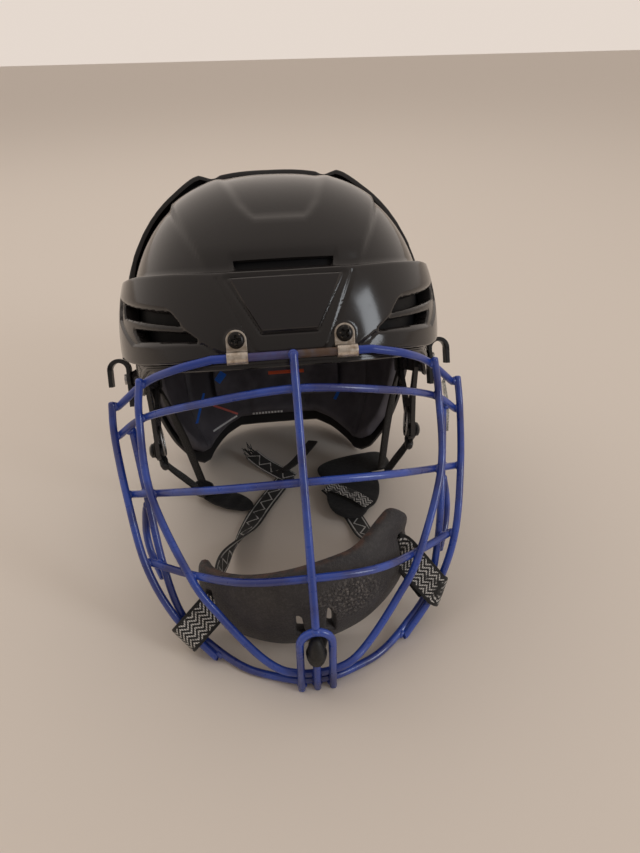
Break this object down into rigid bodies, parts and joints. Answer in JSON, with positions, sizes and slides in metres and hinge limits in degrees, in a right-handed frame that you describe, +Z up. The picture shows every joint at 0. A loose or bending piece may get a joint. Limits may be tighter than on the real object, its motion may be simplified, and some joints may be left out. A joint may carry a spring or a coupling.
{
  "type": "ice hockey helmet with wire face cage",
  "caption": "Player's ice hockey helmet in two sliding shell halves with foam liner, hinged wire face cage, moulded chin cup, hook clips and chin straps.",
  "frame": {"origin": "on the resting surface, under the middle of the helmet's overall box", "axes": "+Z up, the face looks along -Y, the wearer's left is +X; the helmet leans back as it rests on its cage feet and nape"},
  "size_m": [0.2538, 0.3707, 0.2557],
  "materials": {
    "gloss_shell": "deep gloss black, moulded",
    "matte_shell": "satin black, moulded",
    "front_panel": "gloss black, bare",
    "foam": "dark moulded foam",
    "comfort_pad": "soft dark padding",
    "black_hardware": "satin black",
    "black_screw": "blackened steel",
    "clip_steel": "satin, slightly warm",
    "ear_plastic": "gloss black",
    "steel_screw": "plain steel",
    "plain_strap": "black woven strap",
    "strap_pad": "black padded strap end",
    "clip_plastic": "satin black",
    "cup_rubber": "dark moulded rubber, worn",
    "tab_rubber": "soft black",
    "woven_web": "black webbing with a pale stitched zigzag",
    "clear_plastic": "clear sheet",
    "blue_coated_wire": "steel wire with blue plastic coating"
  },
  "bodies": {
    "helmet": {"front_shell": "gloss_shell", "badge_panel": "front_panel", "front_liner": "foam", "brow_pad": "comfort_pad", "crown_pad": "comfort_pad", "temple_pad_left": "comfort_pad", "temple_pad_right": "comfort_pad", "size_screw_left": "black_hardware", "size_screw_right": "black_hardware", "cage_clip_left": "clip_steel", "cage_clip_right": "clip_steel", "clip_screw_left": "black_screw", "clip_screw_right": "black_screw", "ear_guard_left": "ear_plastic", "ear_guard_right": "ear_plastic", "snap_stud_left": "black_hardware", "snap_stud_right": "black_hardware", "hook_screw_left": "steel_screw", "hook_screw_right": "steel_screw", "strap_front_left": "plain_strap", "strap_front_right": "plain_strap", "strap_rear_left": "plain_strap", "strap_rear_right": "plain_strap", "chin_pad_left": "strap_pad", "chin_pad_right": "strap_pad"},
    "rear": {"rear_shell": "matte_shell", "rear_liner": "foam", "nape_pad": "comfort_pad"},
    "cage": {"top_bar": "blue_coated_wire", "brow_bar": "blue_coated_wire", "eye_bar": "blue_coated_wire", "mouth_bar": "blue_coated_wire", "centre_bar": "blue_coated_wire", "inner_hoop": "blue_coated_wire", "side_bar_left": "blue_coated_wire", "side_bar_right": "blue_coated_wire", "rim_wire": "blue_coated_wire", "chin_loop": "blue_coated_wire", "chin_peg": "blue_coated_wire", "strap_loop_left": "blue_coated_wire", "strap_loop_right": "blue_coated_wire", "chin_cup": "cup_rubber", "cup_tab": "tab_rubber", "cup_web_left": "woven_web", "cup_web_right": "woven_web", "neck_web_left": "woven_web", "neck_web_right": "woven_web", "clear_plate": "clear_plastic"},
    "hook_left": {"j_clip_left": "clip_plastic"},
    "hook_right": {"j_clip_right": "clip_plastic"}
  },
  "joints": [
    {"name": "cage_flip", "type": "hinge", "parent": "helmet", "child": "cage", "pos_m": [0, -0.09305, 0.18055], "axis": [-1, 0, 0], "range_deg": [0, 95]},
    {"name": "size_slide", "type": "slide", "parent": "helmet", "child": "rear", "axis": [0, 0.9104, -0.4136], "range_m": [0, 0.02]},
    {"name": "hook_left_turn", "type": "hinge", "parent": "helmet", "child": "hook_left", "pos_m": [-0.1105, 0.01013, 0.11995], "axis": [1, 0, 0], "range_deg": [-30, 30]},
    {"name": "hook_right_turn", "type": "hinge", "parent": "helmet", "child": "hook_right", "pos_m": [0.1105, 0.01013, 0.11995], "axis": [1, 0, 0], "range_deg": [-30, 30]}
  ]
}
